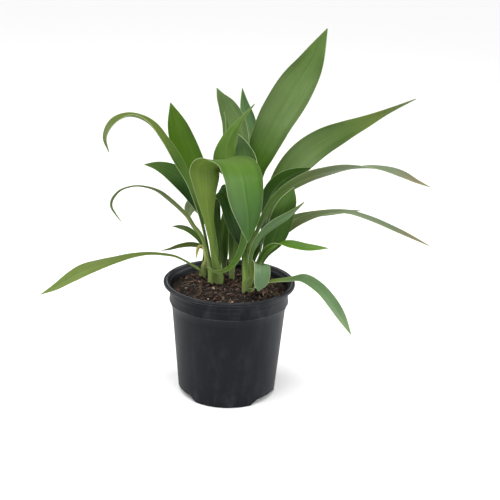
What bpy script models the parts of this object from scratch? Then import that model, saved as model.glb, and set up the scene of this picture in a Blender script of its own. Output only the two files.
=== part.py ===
"""Potted rengarenga lily: a moulded nursery pot, its potting mix and a clump of strap leaves.

Metres, +Z up. The origin is the middle of the pot's foot, on the surface that it stands on,
and -Y is the front. Sizes below are in millimetres and MM turns them into metres.
"""
import math

import bmesh
import bpy
from mathutils import Quaternion, Vector, noise

MM = 0.001

# Pot
RIM_RADIUS = 75.0
RIM_INNER_RADIUS = 70.4
POT_HEIGHT = 134.0
COLLAR_RADIUS = 67.6
COLLAR_TOP = 128.6
COLLAR_FOOT = 110.5
BODY_TOP = 102.0
BODY_TOP_RADIUS = 64.8
FOOT_RADIUS = 56.0
WALL = 1.3
FLOOR = 1.6
FOOT_RING_WIDTH = 3.0
FOOT_RECESS_RADIUS = FOOT_RADIUS - FOOT_RING_WIDTH
CHANNEL_HEIGHT = 4.4
CHANNEL_SLOPE = 4.0
REST_RADIUS = 36.0
POT_SEGMENTS = 60
NOTCH_COUNT = 3
NOTCH_FIRST = -153.0
NOTCH_SWEEP = 64.0
NOTCH_TOP_SWEEP = 34.0
NOTCH_HEIGHT = 6.5
NOTCH_INNER_RADIUS = 44.0
NOTCH_OVERRUN = 3.0
NOTCH_STEPS = 4

# Potting mix
SOIL_EDGE = 123.5
SOIL_CROWN = 130.5
SOIL_LUMP = 2.4
SOIL_LUMP_SPACING = 9.0
SOIL_RINGS = 9
GAP = 0.3
HOLE_CLEARANCE = 1.0
HOLE_SEGMENTS = 20
HOLE_OVERRUN = 10.0

# Shoots: the middle of each on the potting mix, x and y
SHOOTS = {
    "left": (-16.0, 0.0),
    "far_left": (-28.5, 16.0),
    "back": (-6.0, 25.0),
    "middle": (3.0, 2.0),
    "front": (20.0, -28.0),
    "right": (34.0, -9.0),
    "back_right": (22.0, 16.0),
}
STEM_FOOT = 112.0
SHEATH_TOP = 137.0
SHEATH_STEP = 5.0
SHEATH_CORE = 2.2
LAYER_SPACING = 1.5
SHEATH_WRAP = 48.0

# Leaf blades
BLADE_THICKNESS = 0.95
TIP_THICKNESS = 0.7
TIP_WIDTH = 1.4
STALK_WRAP = 42.0
STALK_START = 14.0
ACROSS = 4
ALONG = 16
SAMPLES_PER_SPAN = 16
BEND_REACH = 16.0

# How wide a blade is at even steps from the top of its sheath to its tip, as shares of its width
STRAP = (0.48, 0.42, 0.55, 0.80, 0.96, 1.0, 0.92, 0.66, 0.05)
ARCH = (0.38, 0.36, 0.5, 0.8, 0.96, 1.0, 0.92, 0.72, 0.05)
BROAD = (0.24, 0.24, 0.44, 0.8, 0.97, 1.0, 0.92, 0.67, 0.03)
BLUNT = (0.26, 0.26, 0.46, 0.80, 0.97, 1.0, 0.97, 0.78, 0.03)
FLARED = (0.23, 0.14, 0.16, 0.28, 0.66, 1.0, 0.96, 0.72, 0.03)
FOLDED = (0.23, 0.14, 0.18, 0.42, 0.86, 1.0, 0.96, 0.72, 0.03)
TAPERED = (0.24, 0.26, 0.54, 0.88, 1.0, 0.97, 0.8, 0.48, 0.03)
THIN = (0.85, 0.75, 0.80, 0.92, 1.0, 0.95, 0.78, 0.48, 0.10)
EARLY = (0.45, 0.52, 0.82, 1.0, 0.74, 0.46, 0.38, 0.3, 0.05)
LATE = (0.55, 0.38, 0.38, 0.46, 0.62, 0.88, 1.0, 0.66, 0.05)
TALL = (0.24, 0.25, 0.38, 0.64, 0.85, 1.0, 0.97, 0.6, 0.03)
LONG_TIP = (0.24, 0.24, 0.48, 0.88, 1.0, 0.84, 0.50, 0.20, 0.03)
SPEAR = (0.24, 0.34, 0.36, 0.28, 0.28, 0.95, 0.54, 0.2, 0.03)

# Every leaf: its shoot, its layer in the sheath (0 is the innermost), the side of the shoot that
# it grows from in degrees, the blade's greatest width and its form, how far the blade is folded
# along its midrib in degrees, its turn about its own spine in degrees at even steps from foot to
# tip, and the points (x, y, z) that its midrib passes through.
LEAVES = {
    "leaf_front_folded": dict(
        shoot="left", layer=5, side=-65, width=55, form=FOLDED, fold=8,
        turn=(0, 0, 0, 12, 42, 45, 45, 45),
        route=[(-17, -15, 166), (-21, -15, 192), (-25, -14, 216), (-27.5, -12, 237),
               (-28.5, -9, 255), (-29, -7, 265), (-23, -8, 273), (-9, -15, 278), (4, -27, 277),
               (11, -37, 266), (15, -42, 247), (19, -44, 223), (20, -44, 194)]),
    "leaf_left_hook": dict(
        shoot="left", layer=4, side=205, width=7, form=THIN, fold=24,
        turn=(0, 15, 42, 32, 30, 12, 8, 50, 60),
        route=[(-27, -5, 167), (-34, -3, 188), (-42, 2, 196), (-49, 5, 206), (-55, 6, 212),
               (-63, 7, 219), (-73, 8, 227), (-82, 6, 234), (-94, 3, 239), (-106, 0, 241),
               (-117, -2, 239), (-125, -4, 235), (-132, -6, 226), (-133, -6, 218),
               (-128, -6, 209), (-122, -6, 201)]),
    "leaf_far_arch": dict(
        shoot="left", layer=3, side=165, width=21, form=ARCH, fold=36,
        turn=(0, 0, 0, -5, -8, 0, 14, 5, 0),
        route=[(-28, 5, 176), (-36, 4, 208), (-48, 7, 242), (-57, 10, 258), (-67, 13, 274),
               (-77, 15, 289), (-90, 18, 305), (-102, 18, 313), (-115, 17, 316), (-128, 12, 312),
               (-136, 8, 304), (-140, 4, 293), (-136, 1, 278)]),
    "leaf_inner_folded": dict(
        shoot="left", layer=2, side=-45, width=20, form=BROAD, fold=14,
        turn=(0, 0, 20, 36, 40),
        route=[(-11, -1, 159), (-13, 4, 180), (-15, 7, 201), (-16.5, 8.5, 217), (-16.5, 8, 228),
               (-15, 5, 236), (-11, 0, 237.5), (-6, -5, 234), (-2, -9, 226), (1, -12, 214),
               (7, -13, 195), (14, -13, 175)]),
    "leaf_left_broad": dict(
        shoot="left", layer=0, side=160, width=29, form=TAPERED, fold=16,
        turn=(0, 0, -20, -40, -40),
        route=[(-24, 8, 178), (-31, 21, 202), (-43, 27, 223.5), (-57, 31, 239.6), (-70, 35, 249),
               (-86, 37, 255), (-101, 36, 257)]),
    "leaf_left_tall": dict(
        shoot="left", layer=1, side=60, width=33, form=BROAD, fold=24,
        turn=(0, 0, 15, 20, 15),
        route=[(-18, 17, 171), (-28, 36, 205), (-43, 46, 244), (-59, 50, 284), (-73, 51, 326)]),
    "leaf_long_low_left": dict(
        shoot="far_left", layer=3, side=190, width=17, form=LATE, fold=20,
        turn=(0, -5, -20, -35, -35),
        route=[(-40, 14, 142), (-51, 12, 150), (-63, 8, 157), (-81, 3, 161), (-94, 0, 162),
               (-112, -4, 160), (-129, -9, 156), (-144, -13, 152), (-162, -17, 146),
               (-177, -20, 138), (-195, -25, 127), (-210, -29, 120)]),
    "leaf_withered": dict(
        shoot="far_left", layer=2, side=235, width=6, form=THIN, fold=20,
        turn=(0, 0, 0, 0, 0, 5, 35, 60, 70),
        route=[(-28, 9, 154), (-29, 8, 165), (-31, 7, 171), (-35, 6, 171), (-38, 6, 164),
               (-38, 6, 157)]),
    "leaf_left_short": dict(
        shoot="far_left", layer=1, side=130, width=7, form=STRAP, fold=20,
        turn=(0, -5, -15, -25),
        route=[(-31, 21, 163), (-36, 23, 173.5), (-43, 25, 180), (-51, 26, 185), (-61, 27, 187.2),
               (-68, 26, 187.6)]),
    "leaf_back_thin": dict(
        shoot="far_left", layer=0, side=30, width=6, form=THIN, fold=20,
        turn=(0, 0, -10, -20),
        route=[(-25, 24, 152), (-30, 33, 160), (-44, 37, 163), (-59, 37, 161), (-71, 36, 157),
               (-81, 34, 155)]),
    "leaf_back_drooping": dict(
        shoot="back", layer=2, side=150, width=19, form=BLUNT, fold=16,
        turn=(0, 0, 0, 0, -30, -70, -70),
        route=[(-20, 37, 169), (-28, 44, 190), (-34, 48, 203), (-42, 50, 209), (-49, 50, 203),
               (-50, 48, 191)]),
    "leaf_centre_slant": dict(
        shoot="back", layer=1, side=-105, width=33, form=SPEAR, fold=16,
        turn=(0, 0, 10, 20),
        route=[(-10, 18, 176), (-6, 19, 205), (-1, 20, 231), (-1, 21, 252), (-8, 22, 272),
               (-6, 24, 290), (4, 26, 309), (22, 29, 332)]),
    "leaf_centre_bent_tip": dict(
        shoot="back", layer=0, side=65, width=33, form=FLARED, fold=16,
        turn=(0, 0, 0, 0),
        route=[(-4, 35, 182), (-1, 47, 215), (4, 55, 260), (3, 61, 283), (-1, 67, 304),
               (-9, 72, 320), (-17, 74, 331), (-22, 76, 340)]),
    "leaf_centre_back": dict(
        shoot="middle", layer=1, side=110, width=27, form=SPEAR, fold=16,
        turn=(0, 0, 0, 0),
        route=[(1.5, 20, 178), (1, 36, 215), (2, 39, 232), (-1, 42, 253), (-4, 44, 275),
               (-7, 46, 294), (-9, 48, 308), (-12, 49, 318)]),
    "leaf_centre_low": dict(
        shoot="middle", layer=0, side=20, width=35, form=BROAD, fold=16,
        turn=(0, 20, 40, 40),
        route=[(8, 3, 175), (13, 7, 221), (15, 9, 244), (15, 12, 270), (12, 14, 283),
               (9, 14, 292), (5, 15, 300)]),
    "leaf_low_right": dict(
        shoot="front", layer=4, side=-25, width=18, form=STRAP, fold=20,
        turn=(0, 0, 5, 10, 10),
        route=[(31, -35, 139), (44, -42, 148), (67, -48, 154), (81, -54, 158), (98, -60, 150),
               (112, -66, 136), (124, -70, 120), (135, -72, 102)]),
    "leaf_front_tip": dict(
        shoot="front", layer=3, side=-80, width=21, form=BLUNT, fold=40,
        turn=(0, 0, 0, 0),
        route=[(27, -41, 154), (31, -46, 166), (34, -52, 171), (35, -59, 165), (33, -62, 145)]),
    "leaf_front_curl": dict(
        shoot="front", layer=2, side=-120, width=10, form=THIN, fold=14,
        turn=(0, 0, 0, 0),
        route=[(16, -28, 175), (20, -23, 205), (23, -23, 222), (20, -28, 231), (17, -32, 219),
               (16, -32, 196), (11, -29, 176), (2, -24, 159), (-13, -19, 150), (-26, -15, 154)]),
    "leaf_right_slant": dict(
        shoot="front", layer=1, side=-20, width=13, form=THIN, fold=16,
        turn=(0, -15, -30, -30),
        route=[(24, -31, 163), (25, -29, 176), (29, -27, 188), (36, -24, 198), (47, -21, 208),
               (63, -17, 218), (80, -14, 233)]),
    "leaf_right_twisted": dict(
        shoot="front", layer=0, side=50, width=17, form=STRAP, fold=28,
        turn=(0, -70, -112, -106, -100, -74, -36, -2, 0),
        route=[(23, -19, 170), (24, -16, 181), (29, -12, 193), (34, -7, 206), (40, -3, 218),
               (47, 0, 229), (57, 3, 239), (67, 5, 246), (84, 7, 255), (103, 9, 261),
               (126, 10, 266), (155, 11, 268), (187, 10, 262), (205, 7, 255), (220, 4, 250)]),
    "leaf_right_small": dict(
        shoot="right", layer=2, side=-70, width=13, form=STRAP, fold=18,
        turn=(0, 0, 0, 0, 20, 62, 72, 72, 70),
        route=[(33, -15, 159), (38, -18, 172), (44, -22, 181), (52, -27, 188), (66, -30, 189),
               (85, -33, 187), (108, -36, 188)]),
    "leaf_right_long": dict(
        shoot="right", layer=1, side=60, width=17, form=EARLY, fold=18,
        turn=(0, -14, -30, -32, -43, -30, -5, 0, 0),
        route=[(34, 5, 153), (39, 6, 163), (45, 7, 172), (51, 9, 180), (60, 10, 188),
               (77, 10, 202), (99, 7, 213), (127, 1, 219), (153, -6, 215), (184, -15, 205),
               (220, -25, 191)]),
    "leaf_right_upright": dict(
        shoot="right", layer=0, side=100, width=28, form=BROAD, fold=16,
        turn=(0, 0, 10, 15),
        route=[(34, -5, 154), (36, -5, 160), (40, -6, 170), (45, -7, 180), (50, -7, 191),
               (54, -8, 205), (59, -10, 225), (63, -11, 236), (68, -12, 249)]),
    "leaf_right_behind": dict(
        shoot="back_right", layer=4, side=-60, width=12, form=STRAP, fold=18,
        turn=(0, 10, 20, 20),
        route=[(24, 2, 166), (30, 6, 175), (38, 12, 183), (48, 18, 190), (60, 24, 197),
               (78, 28, 203), (107, 31, 208), (147, 33, 212)]),
    "leaf_right_short_dark": dict(
        shoot="back_right", layer=3, side=-10, width=22, form=TALL, fold=18,
        turn=(0, 0, -30, -60, -60),
        route=[(34.5, 14.6, 164), (37, 17.2, 184), (39, 18, 203), (44, 18.5, 233), (60, 19, 251),
               (88, 21, 264)]),
    "leaf_right_high": dict(
        shoot="back_right", layer=2, side=50, width=34, form=LONG_TIP, fold=18,
        turn=(0, 0, 30, 50, 50, 50),
        route=[(35.5, 27, 172), (40, 32, 201), (47, 37, 225), (57, 40, 242), (69, 45, 259),
               (83, 51, 273), (102, 58, 286), (126, 66, 297), (151, 75, 307), (176, 83, 318),
               (209, 92, 332)]),
    "leaf_tallest": dict(
        shoot="back_right", layer=1, side=80, width=44, form=TALL, fold=18,
        turn=(0, 0, 0, 0),
        route=[(23, 35, 172), (22, 50, 210), (24, 57, 252), (31, 60, 270), (39, 64, 289),
               (47, 67, 307), (58, 71, 326), (69, 75, 345), (82, 81, 366), (93, 88, 389),
               (102, 94, 409)]),
    "leaf_centre_pointed": dict(
        shoot="back_right", layer=0, side=160, width=29, form=FLARED, fold=18,
        turn=(0, 0, 0, 0),
        route=[(13, 21, 170), (10, 40, 188), (14, 58, 209), (23, 76, 269), (18, 81, 286),
               (13, 84, 305), (9, 86, 321), (7, 87, 339)]),
}


def start_empty():
    for old in list(bpy.data.objects):
        bpy.data.objects.remove(old, do_unlink=True)


def collection(name):
    found = bpy.data.collections.new(name)
    bpy.context.scene.collection.children.link(found)
    return found


def finish(name, colour, roughness):
    material = bpy.data.materials.new(name)
    material.use_nodes = True
    shader = material.node_tree.nodes["Principled BSDF"]
    shader.inputs["Base Color"].default_value = (*colour, 1.0)
    shader.inputs["Roughness"].default_value = roughness
    return material


def add_object(name, mesh, home, material=None):
    made = bpy.data.objects.new(name, mesh)
    home.objects.link(made)
    if material:
        mesh.materials.append(material)
    return made


def heading(degrees):
    angle = math.radians(degrees)
    return Vector((math.cos(angle), math.sin(angle), 0.0))


def smooth_step(low, high, value):
    x = min(max((value - low) / (high - low), 0.0), 1.0)
    return x * x * (3.0 - 2.0 * x)


def turned(name, profile, home, material, segments):
    """Turn a profile of (radius, height) points about Z; it runs down the outer side."""
    mesh = bpy.data.meshes.new(name)
    points = [(radius * MM, 0.0, height * MM) for radius, height in profile]
    mesh.from_pydata(points, [(i, i + 1) for i in range(len(points) - 1)], [])
    made = add_object(name, mesh, home, material)
    screw = made.modifiers.new("Turn", "SCREW")
    screw.axis = "Z"
    screw.steps = segments
    screw.render_steps = segments
    screw.use_merge_vertices = True
    screw.merge_threshold = 0.00005
    screw.use_smooth_shade = True
    return made


def as_mesh(made):
    """Apply an object's modifiers, so that its points can be moved."""
    graph = bpy.context.evaluated_depsgraph_get()
    made.data = bpy.data.meshes.new_from_object(made.evaluated_get(graph))
    made.modifiers.clear()


def triangulate(mesh):
    form = bmesh.new()
    form.from_mesh(mesh)
    bmesh.ops.triangulate(form, faces=form.faces)
    form.to_mesh(mesh)
    form.free()


def cut(made, cutter):
    boolean = made.modifiers.new("Cut", "BOOLEAN")
    boolean.operation = "DIFFERENCE"
    boolean.object = cutter


def hide_cutter(cutter):
    cutter.hide_render = True
    cutter.display_type = "WIRE"


def outer_radius(height):
    """The outer radius of the tapered body at a height under the collar."""
    return FOOT_RADIUS + (BODY_TOP_RADIUS - FOOT_RADIUS) * height / BODY_TOP


def pot_profile():
    """From the middle of the floor up the inside, over the lip and down the outside."""
    collar_inner = COLLAR_RADIUS - WALL
    channel_top = CHANNEL_HEIGHT + FLOOR
    inside = [
        (0.0, FLOOR),
        (REST_RADIUS - 1.0, FLOOR),
        (REST_RADIUS - 1.0 + CHANNEL_SLOPE, channel_top),
        (outer_radius(channel_top) - WALL - 2.0, channel_top),
        (outer_radius(channel_top) - WALL, channel_top + 2.0),
        (BODY_TOP_RADIUS - WALL, BODY_TOP + 0.5),
        (collar_inner, COLLAR_FOOT + 0.5),
        (collar_inner, COLLAR_TOP - 1.0),
        (collar_inner + 1.2, COLLAR_TOP + 2.2),
    ]
    lip = [
        (RIM_INNER_RADIUS - 0.6, POT_HEIGHT - 1.0),
        (RIM_INNER_RADIUS + 1.0, POT_HEIGHT - 0.1),
        (RIM_RADIUS - 1.2, POT_HEIGHT),
        (RIM_RADIUS - 0.2, POT_HEIGHT - 0.6),
        (RIM_RADIUS, POT_HEIGHT - 1.6),
        (RIM_RADIUS - 0.4, POT_HEIGHT - 3.6),
        (RIM_RADIUS - 1.4, POT_HEIGHT - 3.6),
        (RIM_RADIUS - 2.2, POT_HEIGHT - 2.4),
        (RIM_INNER_RADIUS + 0.6, POT_HEIGHT - 2.2),
        (COLLAR_RADIUS + 1.0, COLLAR_TOP + 1.6),
    ]
    outside = [
        (COLLAR_RADIUS, COLLAR_TOP - 1.6),
        (COLLAR_RADIUS, COLLAR_FOOT + 1.2),
        (COLLAR_RADIUS + 0.5, COLLAR_FOOT + 0.9),
        (COLLAR_RADIUS + 0.3, COLLAR_FOOT),
        (BODY_TOP_RADIUS, BODY_TOP),
        (outer_radius(1.0), 1.0),
        (FOOT_RADIUS - 0.8, 0.0),
        (FOOT_RECESS_RADIUS, 0.0),
        (FOOT_RECESS_RADIUS - 0.3, CHANNEL_HEIGHT),
        (REST_RADIUS + CHANNEL_SLOPE, CHANNEL_HEIGHT),
        (REST_RADIUS, 0.0),
        (0.0, 0.0),
    ]
    return inside + lip + outside


def notch_cutter(home):
    """Blocks that cut the foot ring and the drainage channel, one for each notch."""
    mesh = bpy.data.meshes.new("notches")
    form = bmesh.new()
    for notch in range(NOTCH_COUNT):
        middle = NOTCH_FIRST + 360.0 / NOTCH_COUNT * notch
        block = bmesh.ops.create_grid(form, x_segments=1, y_segments=NOTCH_STEPS, size=1.0)
        for corner in block["verts"]:
            reach = NOTCH_INNER_RADIUS if corner.co.x < 0 else FOOT_RADIUS + NOTCH_OVERRUN
            spot = heading(middle + corner.co.y * NOTCH_SWEEP / 2.0) * reach * MM
            corner.co = (spot.x, spot.y, -NOTCH_OVERRUN * MM)
        flat = list(dict.fromkeys(face for corner in block["verts"] for face in corner.link_faces))
        raised = bmesh.ops.extrude_face_region(form, geom=flat)
        top = [item for item in raised["geom"] if isinstance(item, bmesh.types.BMVert)]
        for corner in top:
            apart = math.degrees(math.atan2(corner.co.y, corner.co.x)) - middle
            apart = (apart + 180.0) % 360.0 - 180.0
            side = heading(middle + apart * NOTCH_TOP_SWEEP / NOTCH_SWEEP)
            spot = side * corner.co.xy.length
            corner.co = (spot.x, spot.y, NOTCH_HEIGHT * MM)
    bmesh.ops.recalc_face_normals(form, faces=form.faces)
    form.to_mesh(mesh)
    form.free()
    cutter = add_object("notches", mesh, home)
    hide_cutter(cutter)
    return cutter


def make_pot(parts, cutters):
    black = finish("pot_plastic", (0.028, 0.029, 0.032), 0.5)
    pot = turned("pot", pot_profile(), parts, black, POT_SEGMENTS)
    cut(pot, notch_cutter(cutters))


def soil_top(x, y):
    """Height of the potting mix: mounded in the middle, with lumps of bark."""
    radius = math.hypot(x, y)
    edge = COLLAR_RADIUS - WALL - GAP
    mound = SOIL_EDGE + (SOIL_CROWN - SOIL_EDGE) * (1.0 - smooth_step(edge - 26.0, edge, radius))
    lumps = noise.noise(Vector((x, y, 0.0)) / SOIL_LUMP_SPACING)
    lumps += 0.5 * noise.noise(Vector((x, y, 40.0)) / (SOIL_LUMP_SPACING / 2.0))
    return mound + SOIL_LUMP * lumps * (1.0 - smooth_step(edge - 5.0, edge, radius))


def soil_profile():
    wall = COLLAR_RADIUS - WALL - GAP
    body_inner = BODY_TOP_RADIUS - WALL - GAP
    channel_top = CHANNEL_HEIGHT + FLOOR
    foot_inner = outer_radius(channel_top + 4.0) - WALL - GAP
    top = [(wall * ring / SOIL_RINGS, SOIL_EDGE) for ring in range(SOIL_RINGS + 1)]
    side = [
        (wall, COLLAR_FOOT + 0.5 + GAP),
        (body_inner, BODY_TOP + 0.5),
        (foot_inner, channel_top + 4.0),
        (foot_inner - 3.5, channel_top + GAP),
        (REST_RADIUS - 1.0 - GAP + CHANNEL_SLOPE, channel_top + GAP),
        (REST_RADIUS - 1.0 - GAP, FLOOR + GAP),
        (0.0, FLOOR + GAP),
    ]
    return top + side


def layers_in(shoot):
    return 1 + max(leaf["layer"] for leaf in LEAVES.values() if leaf["shoot"] == shoot)


def sheath_radius(layer):
    return SHEATH_CORE + LAYER_SPACING * layer


def make_soil(parts, cutters):
    brown = finish("potting_mix", (0.045, 0.026, 0.018), 0.95)
    soil = turned("soil", soil_profile(), parts, brown, POT_SEGMENTS)
    as_mesh(soil)
    for point in soil.data.vertices:
        if point.co.z > (SOIL_EDGE - 0.1) * MM:
            point.co.z = soil_top(point.co.x / MM, point.co.y / MM) * MM
    triangulate(soil.data)
    for shoot, (x, y) in SHOOTS.items():
        radius = sheath_radius(layers_in(shoot) - 1) + BLADE_THICKNESS / 2.0 + HOLE_CLEARANCE
        bottom = STEM_FOOT - GAP
        depth = SOIL_CROWN + HOLE_OVERRUN - bottom
        mesh = bpy.data.meshes.new("hole_" + shoot)
        form = bmesh.new()
        bmesh.ops.create_cone(form, cap_ends=True, segments=HOLE_SEGMENTS, radius1=radius * MM,
                              radius2=radius * MM, depth=depth * MM)
        form.to_mesh(mesh)
        form.free()
        hole = add_object("hole_" + shoot, mesh, cutters)
        hole.location = (x * MM, y * MM, (bottom + depth / 2.0) * MM)
        hide_cutter(hole)
        cut(soil, hole)


def smooth_route(points):
    """A curve through the points that keeps close to them where their spacing is uneven."""
    ends = [points[0] * 2.0 - points[1]] + points + [points[-1] * 2.0 - points[-2]]
    curve = []
    for a, b, c, d in zip(ends, ends[1:], ends[2:], ends[3:]):
        before, span, after = [math.sqrt(step.length) for step in (b - a, c - b, d - c)]
        leave = (c - b) + ((b - a) / before - (c - a) / (before + span)) * span
        arrive = (c - b) + ((d - c) / after - (d - b) / (span + after)) * span
        for step in range(SAMPLES_PER_SPAN):
            t = step / SAMPLES_PER_SPAN
            curve.append(b + leave * t + (3.0 * (c - b) - 2.0 * leave - arrive) * t ** 2
                         + (2.0 * (b - c) + leave + arrive) * t ** 3)
    curve.append(points[-1])
    return curve


def sheath_top(leaf):
    """Leaves further in leave the sheath higher up."""
    inward = layers_in(leaf["shoot"]) - 1 - leaf["layer"]
    return SHEATH_TOP + SHEATH_STEP * inward


def leaf_spine(leaf):
    """The midrib's points: straight up inside the sheath, then along the leaf's route."""
    axis = Vector((*SHOOTS[leaf["shoot"]], 0.0))
    out = axis + heading(leaf["side"]) * sheath_radius(leaf["layer"])
    top = sheath_top(leaf)
    sheath = [out + Vector((0.0, 0.0, z)) for z in (STEM_FOOT, (STEM_FOOT + top) / 2.0, top)]
    return smooth_route(sheath + [Vector(point) for point in leaf["route"]])


def frames_along(spine, side):
    """The spine's points with their frames, their distance along it and their share of bending."""
    across = heading(side + 90.0)
    run = 0.0
    effort = 0.0
    frames = []
    last = (spine[1] - spine[0]).normalized()
    for index, point in enumerate(spine):
        ahead = spine[min(index + 1, len(spine) - 1)] - spine[max(index - 1, 0)]
        ahead.normalize()
        across = (across - ahead * across.dot(ahead)).normalized()
        if index:
            step = (point - spine[index - 1]).length
            run += step
            effort += step + BEND_REACH * last.angle(ahead)
        frames.append((point, ahead, across.copy(), run, effort))
        last = ahead
    return frames


def stations(leaf, count):
    """Rows of the blade: the foot, the top of the sheath, then steps that are shorter in bends."""
    frames = frames_along(leaf_spine(leaf), leaf["side"])
    sheath_end = frames[2 * SAMPLES_PER_SPAN][4]
    rows = [frames[0]]
    index = 0
    for row in range(count):
        goal = sheath_end + (frames[-1][4] - sheath_end) * row / (count - 1)
        while index < len(frames) - 2 and frames[index + 1][4] < goal:
            index += 1
        here, there = frames[index], frames[index + 1]
        share = min(max((goal - here[4]) / (there[4] - here[4]), 0.0), 1.0)
        point, ahead, across = [a.lerp(b, share) for a, b in zip(here[:3], there[:3])]
        run = here[3] + (there[3] - here[3]) * share
        rows.append((point, ahead.normalized(), across.normalized(), run, goal))
    return rows


def at_even_steps(values, share):
    """A value on a smooth curve through evenly spaced ones."""
    place = share * (len(values) - 1)
    index = min(int(place), len(values) - 2)
    t = place - index
    b, c = values[index], values[index + 1]
    a = values[index - 1] if index else 2.0 * b - c
    d = values[index + 2] if index + 2 < len(values) else 2.0 * c - b
    return 0.5 * (2.0 * b + (c - a) * t + (2.0 * a - 5.0 * b + 4.0 * c - d) * t ** 2
                  + (3.0 * b - a - 3.0 * c + d) * t ** 3)


def blade_width(leaf, past_sheath, share):
    """The sheath's width, narrowing to the blade's own form."""
    wrap = 2.0 * math.radians(SHEATH_WRAP) * sheath_radius(leaf["layer"])
    blade = leaf["width"] * at_even_steps(leaf["form"], share)
    return max(wrap + (blade - wrap) * smooth_step(0.0, STALK_START, past_sheath), TIP_WIDTH)


def blade_fold(leaf, past_sheath, share):
    """Half the angle that the blade's section turns through."""
    stalk = SHEATH_WRAP + (STALK_WRAP - SHEATH_WRAP) * smooth_step(0.0, STALK_START, past_sheath)
    return math.radians(stalk + (leaf["fold"] - stalk) * smooth_step(0.05, 0.4, share))


def make_leaf(name, leaf, parts, material):
    rows = stations(leaf, ALONG)
    sheath_run = sheath_top(leaf) - STEM_FOOT
    form = bmesh.new()
    bmesh.ops.create_grid(form, x_segments=ACROSS, y_segments=ALONG, size=1.0)
    shares = {}
    for point in form.verts:
        spot, ahead, across, run = rows[round((point.co.y + 1.0) / 2.0 * ALONG)][:4]
        past_sheath = max(run - sheath_run, 0.0)
        share = past_sheath / (rows[-1][3] - sheath_run)
        across = Quaternion(ahead, math.radians(at_even_steps(leaf["turn"], share))) @ across
        upper = ahead.cross(across)
        fold = blade_fold(leaf, past_sheath, share)
        radius = blade_width(leaf, past_sheath, share) / (2.0 * fold)
        angle = point.co.x * fold
        place = spot + across * radius * math.sin(angle) + upper * radius * (1.0 - math.cos(angle))
        point.co = place * MM
        shares[point.index] = share
    bmesh.ops.triangulate(form, faces=form.faces, quad_method="FIXED")
    mesh = bpy.data.meshes.new(name)
    form.to_mesh(mesh)
    form.free()
    made = add_object(name, mesh, parts, material)
    taper = made.vertex_groups.new(name="thickness")
    for index, share in shares.items():
        weight = 1.0 + (TIP_THICKNESS / BLADE_THICKNESS - 1.0) * smooth_step(0.5, 1.0, share)
        taper.add([index], weight, "REPLACE")
    solid = made.modifiers.new("Blade", "SOLIDIFY")
    solid.thickness = BLADE_THICKNESS * MM
    solid.offset = 0.0
    solid.vertex_group = taper.name
    return made


def make_leaves(parts):
    green = finish("leaf_green", (0.10, 0.21, 0.05), 0.45)
    for name, leaf in LEAVES.items():
        make_leaf(name, leaf, parts, green)


start_empty()
object_parts = collection("potted_rengarenga_lily")
cutting_shapes = collection("cutters")
make_pot(object_parts, cutting_shapes)
make_soil(object_parts, cutting_shapes)
make_leaves(object_parts)
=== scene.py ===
# %% [markdown]
# # A potted rengarenga lily
# This lesson dresses a house plant: a clump of long strap leaves in a black nursery pot.
# The solids were made beforehand, so the first step only loads them from model.glb. They
# say where everything is. The rest of the file makes the surfaces that people see: a moulded
# pot, crumbly potting mix, and leaves with veins, midribs and pale margins.

# %% Load the fixed frame
import math
import random

import bpy
from mathutils import Matrix, Quaternion, Vector, noise


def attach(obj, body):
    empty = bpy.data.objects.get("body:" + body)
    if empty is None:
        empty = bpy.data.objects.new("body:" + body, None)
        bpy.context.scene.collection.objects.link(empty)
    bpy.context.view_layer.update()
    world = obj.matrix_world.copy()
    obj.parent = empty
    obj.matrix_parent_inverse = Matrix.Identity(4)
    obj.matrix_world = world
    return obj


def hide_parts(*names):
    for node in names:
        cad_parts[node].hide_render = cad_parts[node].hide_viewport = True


MM = 0.001
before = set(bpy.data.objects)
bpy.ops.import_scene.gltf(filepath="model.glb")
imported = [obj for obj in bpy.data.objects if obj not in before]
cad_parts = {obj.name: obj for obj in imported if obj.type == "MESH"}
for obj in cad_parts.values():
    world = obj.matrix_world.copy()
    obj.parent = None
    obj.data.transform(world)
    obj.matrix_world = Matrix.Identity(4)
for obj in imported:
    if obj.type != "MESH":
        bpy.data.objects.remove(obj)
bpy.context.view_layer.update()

# %% [markdown]
# ## Camera
# The photograph looks a little down on the plant. A long lens keeps the pot's sides nearly
# parallel. It stands 1.2 m away, which was assumed and not measured. The camera was held
# about two degrees out of level, which is why the pot leans in the picture although it stands
# straight on the floor. The lens isn't shifted, so that the same camera also serves for views
# from other sides.

# %% Camera
AIM = Vector((22.3, 0.0, 170.9)) * MM
CAMERA_DISTANCE = 1.2
CAMERA_PITCH = 18.53
CAMERA_ROLL = 1.94
FOCAL_PIXELS = 1062.8
FRAME_PIXELS = 500
SENSOR_WIDTH = 36.0

pitch = math.radians(CAMERA_PITCH)
towards_camera = Vector((0.0, -math.cos(pitch), math.sin(pitch)))
bpy.ops.object.camera_add(location=AIM + towards_camera * CAMERA_DISTANCE,
                          rotation=(math.radians(90.0) - pitch, 0.0, 0.0))
camera = bpy.context.object
camera.rotation_euler.rotate_axis("Z", math.radians(CAMERA_ROLL))
camera.data.sensor_width = SENSOR_WIDTH
camera.data.lens = SENSOR_WIDTH * FOCAL_PIXELS / FRAME_PIXELS
bpy.context.scene.camera = camera
print("lens", round(camera.data.lens, 1), "mm")

# %% [markdown]
# ## Studio
# The plant stands in a white studio. A pale floor runs out of sight, evenly lit by a very soft
# sun, so that it is nearly white as far as one can see. A large soft box hangs overhead, and
# two more stand at the sides, where they draw the lighter edges of the dark pot. The
# surroundings light the object only gently, so that the undersides of the leaves and the
# middle of the pot stay darker than what faces the lamps.

# %% Studio
SURROUNDINGS = 0.26
SUN_STRENGTH = 2.5
SUN_SPREAD = 70.0
SUN_TILT = (18.0, -6.0)


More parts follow.
